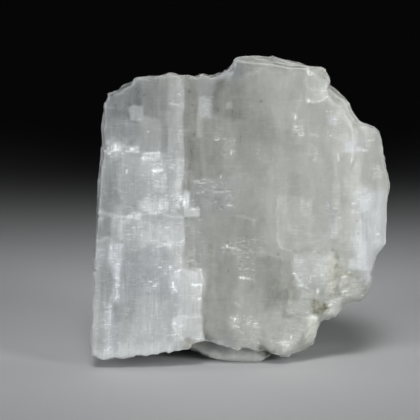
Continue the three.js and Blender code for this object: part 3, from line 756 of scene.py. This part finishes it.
@dataclass
class Crystal:
    """The whole crystal, one piece.

    Attributes:
        node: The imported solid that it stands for.
        grain: Spacing of its mesh before the face is divided once more, in mm.
        face_depth: How far behind the crystal's middle the divided part of the mesh starts, in mm.
        wear: How often its arrises are rounded.
        melt: How much the steps of its face melt into it, from 0 to 1.
        melt_widths: How broadly they melt on the left and on the right, in mm.
        melt_turns: How often the melted face is evened out.
        worn_turns: How often the worn places are rounded.
        proud: How far the outline may stand outside the solid's box on the left and the right, in mm.
        finish: What it is made of.
    """

    node: str = "beryllonite_crystal"
    grain: float = 0.245
    face_depth: float = -1.2
    wear: int = 4
    melt: float = 0.96
    melt_widths: tuple[float, float] = (1.3, 0.7)
    melt_turns: int = 30
    worn_turns: int = 120
    proud: tuple[float, float] = (0.15, 0.25)
    finish: BerylloniteFinish = BerylloniteFinish()

    def fine_copy(self) -> bpy.types.Object:
        """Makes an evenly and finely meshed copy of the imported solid, finest on the face.

        Returns:
            The copy, with each vertex on the solid's surface.
        """
        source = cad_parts[self.node]
        mesh = source.data.copy()
        work = bmesh.new()
        work.from_mesh(mesh)
        bmesh.ops.remove_doubles(work, verts=work.verts, dist=0.001 * MM)
        surface = BVHTree.FromBMesh(work)
        work.to_mesh(mesh)
        work.free()
        piece = bpy.data.objects.new("beryllonite", mesh)
        bpy.context.scene.collection.objects.link(piece)
        remesh = piece.modifiers.new("even_mesh", "REMESH")
        remesh.mode = "VOXEL"
        remesh.voxel_size = self.grain * MM
        ready = bpy.data.meshes.new_from_object(piece.evaluated_get(bpy.context.evaluated_depsgraph_get()))
        piece.modifiers.clear()
        piece.data = ready
        ready.name = "beryllonite"
        work = bmesh.new()
        work.from_mesh(ready)
        work.normal_update()
        facing = -0.25
        seen = [f for f in work.faces if f.normal.y < facing and f.calc_center_median().y < self.face_depth * MM]
        edges = list({edge for face in seen for edge in face.edges})
        bmesh.ops.subdivide_edges(work, edges=edges, cuts=1, use_grid_fill=True)
        bmesh.ops.triangulate(work, faces=[f for f in work.faces if len(f.verts) > 4])
        for vertex in work.verts:
            vertex.co = surface.find_nearest(vertex.co)[0]
        small = (self.grain * MM) ** 2 / 3
        divided = list({vert for face in work.faces if face.calc_area() < small for vert in face.verts})
        for turn in range(self.wear):
            worn = work.verts if turn == 0 else divided
            bmesh.ops.smooth_vert(work, verts=worn, factor=0.5, use_axis_x=True, use_axis_y=True, use_axis_z=True)
        work.to_mesh(ready)
        work.free()
        return piece

    @staticmethod
    def read(piece: bpy.types.Object) -> tuple[Array, Array]:
        """Reads a mesh.

        Args:
            piece: The object.

        Returns:
            Its vertices' places in mm, and their normals.
        """
        count = len(piece.data.vertices)
        places, normals = np.zeros((2, count * 3), np.float32)
        piece.data.vertices.foreach_get("co", places)
        piece.data.vertex_normals.foreach_get("vector", normals)
        return places.reshape(-1, 3).astype(float) / MM, normals.reshape(-1, 3).astype(float)

    @staticmethod
    def place(piece: bpy.types.Object, places: Array) -> None:
        """Puts a mesh's vertices at places in mm."""
        piece.data.vertices.foreach_set("co", (places * MM).astype(np.float32).ravel())
        piece.data.update()

    def soften(self, piece: bpy.types.Object, places: Array) -> Array:
        """Melts the steps of the face into it, as they show through the milky surface, and wears its form.

        Args:
            piece: The object.
            places: Its vertices, in mm.

        Returns:
            The vertices' places, in mm.
        """
        count = len(places)
        pairs = np.zeros(len(piece.data.edges) * 2, np.int32)
        piece.data.edges.foreach_get("vertices", pairs)
        pairs = pairs.reshape(-1, 2).T
        starts, ends = np.hstack([pairs, pairs[::-1]])
        degree = np.maximum(np.bincount(starts, minlength=count), 1)

        def evened(at: Array, times: int = 1) -> Array:
            """Averages places over their neighbours.

            Args:
                at: The places.
                times: How often they are averaged.

            Returns:
                The places, evened out.
            """
            for _ in range(times):
                at = np.stack([0.5 * v + 0.5 * np.bincount(starts, v[ends], count) / degree for v in at.T], axis=1)
            return at

        front = FrontMap.of(piece)
        broad, fine = (front.smooth(width) for width in self.melt_widths)
        cover = front.blur(front.there, 0.8)

        def level(at: Array) -> Array:
            """Gives the melted face's y, more finely kept from the middle to the right."""
            share = ease((squares(at)[0] - 290) / 40)
            return (1 - share) * front.sample(broad, at) + share * front.sample(fine, at)

        column, row = squares(places)
        # The cover falls from 1 to a half at the face's rim, where the melting ends.
        inside = ease((front.sample(cover, places) - 0.56) / 0.42)
        inside *= np.abs(level(places) - places[:, 1]) < 1.8  # mm: what stands further off is no step
        deep = inside * (self.melt - strongest(KEPT_STEPS, column, row))
        moved = places.copy()
        moved[:, 1] += deep * (level(places) - places[:, 1])
        for turn in range(self.melt_turns):
            even = evened(moved)
            # In the first turns, edges over 0.05 mm away from the mean of their neighbours are eased as well.
            sharp = ease(np.linalg.norm(even - moved, axis=1) / 0.05 - 1) * (0.6 if turn < 6 else 0.0)
            moved += np.maximum(inside, sharp)[:, None] * (even - moved)
        moved[:, 1] += np.maximum(deep - 0.3, 0) / 0.7 * (level(moved) - moved[:, 1])
        worn = strongest(WORN, column, row) * forward(places[:, 1], -0.5)
        moved += worn[:, None] * (evened(moved, self.worn_turns) - moved)
        for nudge_column, nudge_row, right, down, reach in NUDGES:
            share = np.exp(-((column - nudge_column) ** 2 + (row - nudge_row) ** 2) / reach**2)
            moved[:, 0] += share * right * SQUARE
            moved[:, 2] -= share * down * ROW_HEIGHT
        return moved

    @staticmethod
    def relief(places: Array, normals: Array) -> Array:
        """Works out how far each vertex stands proud of the solid.

        Args:
            places: The vertices, in mm.
            normals: Their normals.

        Returns:
            Heights along the normals, in mm.
        """
        x, y, z = places.T
        flank, face, end = (np.abs(normals) ** 3 + 1e-9).T
        total = flank + face + end
        flank, face, end = flank / total, face / total, end / total
        # The broad face is the smoothest, the flanks are stepped blade by blade, and the broken ends are rough.
        on_face = 0.030 * blades(11, 1.5, 7.0, x, z) + 0.016 * blades(12, 0.6, 3.5, x, z)
        on_face += 0.006 * cloud(13, (0.30, 3.0), x, z) + 0.016 * cloud(14, (0.45, 0.45), x, z)
        on_flank = 0.10 * blades(21, 1.2, 7.0, y, z) + 0.06 * blades(22, 0.55, 4.0, y, z)
        on_flank += 0.035 * cloud(23, (0.4, 3.0), y, z) + 0.05 * cloud(24, (0.7, 0.6), y, z)
        on_end = 0.16 * blades(31, 0.9, 1.6, x, y) + 0.10 * blades(32, 0.5, 0.9, x, y)
        on_end += 0.12 * cloud(33, (1.4, 1.4), x, y) + 0.05 * cloud(34, (0.4, 0.4, 0.4), x, y, z)
        calm = 1 - CALM.white * CALM.share(*squares(places)) * forward(y, -1.0)
        return face * on_face + calm * (flank * on_flank + end * on_end)

    @staticmethod
    def marks(places: Array, normals: Array) -> dict[str, Array]:
        """Works out the crystal's milk with its painted highlights and shade, frost, tint and stain, and where its
        terraced sides and ends are.

        Args:
            places: The vertices, in mm.
            normals: Their normals.

        Returns:
            For each attribute's name, its values.
        """
        x, y, z = places.T
        _, ny, nz = normals.T
        column, row = squares(places)
        white, frost = np.full_like(x, PLAIN_WHITE), np.full_like(x, PLAIN_FROST)
        for slab in SLABS:
            white += slab.share(column, row) * (slab.white - white)
        for patch in FROSTS:
            share = patch.share(column, row)
            frost = np.maximum(frost, patch.frost * share)
            white += 0.6 * patch.white * share
        # Faint blades inside the crystal, upright and level, in squares.
        white += 3 * blades(55, 18.0, 60.0, column, -row) + 2.5 * blades(56, 7.0, 28.0, column, -row)
        white += 4 * blades(57, 22.0, 34.0, -row, column)
        for crack in CRACKS:
            white += crack.white * crack.share(column, row)
        # Painted highlights: the glints are added to the whiteness as bright dots.
        for number, (glint_column, glint_row, size) in enumerate(GLINTS):
            long = GLINT_STRETCH[number % 2]
            across, down = (column - glint_column) / long, (row - glint_row) * long
            white += GLINT_WHITE * ease(1.2 - np.hypot(across, down) / size)
        for speck_column, speck_row, size in SPECKS:
            white -= SPECK_DARK * ease(1.4 - np.hypot(column - speck_column, row - speck_row) / size)
        # The milk holds the painted glints and the painted light and shade along with the crystal's own whiteness.
        milk_and_painted_light = (white - CLEAREST) / (WHITEST - CLEAREST)

        # Away from the face the crystal has plain milk: slabs on the sides, and uneven breaks on the ends.
        slabs = 0.46 + 0.09 * blades(51, 2.2, 12.0, x + y, z) + 0.10 * cloud(52, (3.0, 3.0, 5.0), x, y, z)
        ends = 0.55 + 0.13 * cloud(53, (0.8, 0.8, 0.8), x, y, z)
        upright = ease((np.abs(nz) - 0.35) / 0.4)
        elsewhere = slabs + upright * (ends - slabs)
        frost_elsewhere = 0.5 + 0.4 * cloud(54, (2.0, 2.0, 2.0), x, y, z) + 0.2 * upright
        near = forward(y, -1.5)
        front = ease((-ny - 0.15) / 0.4) * near
        milk_and_painted_light = elsewhere + front * (milk_and_painted_light - elsewhere)
        frost = frost_elsewhere + front * (frost - frost_elsewhere)
        # Painted shade: the rims at the upper left are darkened where they face up and where they turn away to the
        # left, against the lamps' light on them; they are also thin, and clearer than the slabs behind them.
        milk_and_painted_light -= 0.12 * ease((nz - 0.3) / 0.4) * ease((125 - row) / 30) * ease((235 - column) / 12) * near
        milk_and_painted_light -= 0.28 * ease((ny + 0.92) / 0.4) * ease((150 - column) / 30) * near
        values = {
            "milk_and_painted_light": milk_and_painted_light,
            "frost": frost,
            "cool": strongest(COOL, column, row, PLAIN_COOL),
            "stain": strongest(STAINS, column, row) * forward(y, -0.5),
            "split": (1 - front) * ease((0.9 - np.abs(ny)) / 0.4),
        }
        return {name: np.clip(value, 0, 1) for name, value in values.items()}

    def build(self) -> bpy.types.Object:
        """Builds the crystal, and gives it its material and its place in the frame.

        Returns:
            The finished piece.
        """
        piece = self.fine_copy()
        places, _ = self.read(piece)
        self.place(piece, self.soften(piece, places))
        places, normals = self.read(piece)
        low, high = np.array(CAD_BOX) / MM
        resting = ease((0.35 - places[:, 2]) / 0.3)  # no relief where it stands on the floor
        height = self.relief(places, normals) * (1 - resting)
        moved = places + normals * height[:, None]
        moved = np.clip(moved, low - (self.proud[0], 0, 0), high + (self.proud[1], 0, 0))
        self.place(piece, moved)
        for name, values in self.marks(moved, normals).items():
            attribute = piece.data.attributes.new(name, "FLOAT", "POINT")
            attribute.data.foreach_set("value", values.astype(np.float32))
        piece.data.shade_smooth()
        piece.data.materials.clear()
        piece.data.materials.append(self.finish.build())
        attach(piece, "root")
        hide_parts(self.node)
        return piece


# ---- the studio


@dataclass(frozen=True)
class Lamp:
    """A soft lamp with a grid in front of it, so that its light stays near the crystal.

    Attributes:
        name: What it is for.
        place: Where it hangs, in mm.
        width: Its width and height, in mm.
        power: Its power, in watts.
        colour: Its colour.
        spread: The angle that it lights, in degrees.
    """

    name: str
    place: tuple[float, float, float]
    width: float
    power: float
    colour: str
    spread: float

    def hang(self, aim: Vector) -> None:
        """Hangs the lamp.

        Args:
            aim: What it points at, in metres.
        """
        data = bpy.data.lights.new(self.name, "AREA")
        data.shape = "SQUARE"
        data.size = self.width * MM
        data.energy = self.power
        data.color = linear(self.colour)[:3]
        data.spread = math.radians(self.spread)
        lamp = bpy.data.objects.new(self.name, data)
        lamp.location = Vector(self.place) * MM
        lamp.rotation_euler = (aim - lamp.location).to_track_quat("-Z", "Y").to_euler()
        bpy.context.scene.collection.objects.link(lamp)


@dataclass
class Studio:
    """A plain pale floor in a dark room, soft lamps and the camera.

    Attributes:
        floor: The floor's width, in mm.
        paint: The floor's colour, a pale matt board.
        matt: The floor's roughness.
        gloom: How strong the light of the room itself is.
        lens: The camera's focal length, in mm.
        elevation: How far the camera looks down, in degrees.
        aim: What is in the middle of the picture, in mm.
        distance: From the camera to that, in mm.
        clip: The nearest and the farthest that the camera sees, in metres.
        lamps: The lamps.
    """

    floor: float = 6000.0
    paint: str = "#C6C7C8"
    matt: float = 0.85
    gloom: float = 0.003
    lens: float = 200.0
    elevation: float = 8.0
    aim: tuple[float, float, float] = (-2.65, -5.5, 13.8)
    distance: float = 201.2
    clip: tuple[float, float] = (0.01, 20.0)
    lamps: tuple[Lamp, ...] = (
        Lamp("front", (0, -120, 165), 90, 0.0120, "#FFFFFF", 24),
        Lamp("left_key", (-150, -140, 56), 80, 0.0108, "#F8FAFF", 28),
        Lamp("right_key", (150, -140, 56), 80, 0.0110, "#FFFFFF", 28),
        Lamp("left_rim", (-130, 110, 66), 110, 0.0042, "#FAFCFF", 34),
        Lamp("right_rim", (130, 110, 66), 110, 0.0042, "#FFFFFF", 34),
    )

    def build(self) -> None:
        """Lays the floor, hangs the lamps and sets the camera."""
        scene = bpy.context.scene
        mesh = bpy.data.meshes.new("floor")
        work = bmesh.new()
        bmesh.ops.create_grid(work, x_segments=1, y_segments=1, size=self.floor / 2 * MM)
        work.to_mesh(mesh)
        work.free()
        floor = bpy.data.objects.new("floor", mesh)
        scene.collection.objects.link(floor)
        paint = bpy.data.materials.new("pale_matt_board")
        paint.use_nodes = True
        board = paint.node_tree.nodes["Principled BSDF"]
        board.inputs["Base Color"].default_value = linear(self.paint)
        board.inputs["Roughness"].default_value = self.matt
        mesh.materials.append(paint)
        middle = (CAD_BOX[0] + CAD_BOX[1]) / 2
        for lamp in self.lamps:
            lamp.hang(middle)
        world = bpy.data.worlds.new("dark_room")
        world.use_nodes = True
        room = world.node_tree.nodes["Background"]
        room.inputs["Color"].default_value = linear("#FFFFFF")
        room.inputs["Strength"].default_value = self.gloom
        scene.world = world
        tilt = math.radians(self.elevation)
        back = Vector((0, -math.cos(tilt), math.sin(tilt)))
        data = bpy.data.cameras.new("camera")
        data.lens = self.lens
        data.clip_start, data.clip_end = self.clip
        camera = bpy.data.objects.new("camera", data)
        camera.location = (Vector(self.aim) + back * self.distance) * MM
        camera.rotation_euler = (-back).to_track_quat("-Z", "Y").to_euler()
        scene.collection.objects.link(camera)
        scene.camera = camera
        scene.view_settings.view_transform = "Standard"


def main() -> None:
    """Builds the crystal and the studio in order."""
    logging.basicConfig(level=logging.INFO)
    piece = Crystal().build()
    LOG.info("%s: %d triangles", piece.name, sum(len(p.vertices) - 2 for p in piece.data.polygons))
    Studio().build()
    LOG.info("studio: done")


if __name__ == "__main__":
    main()
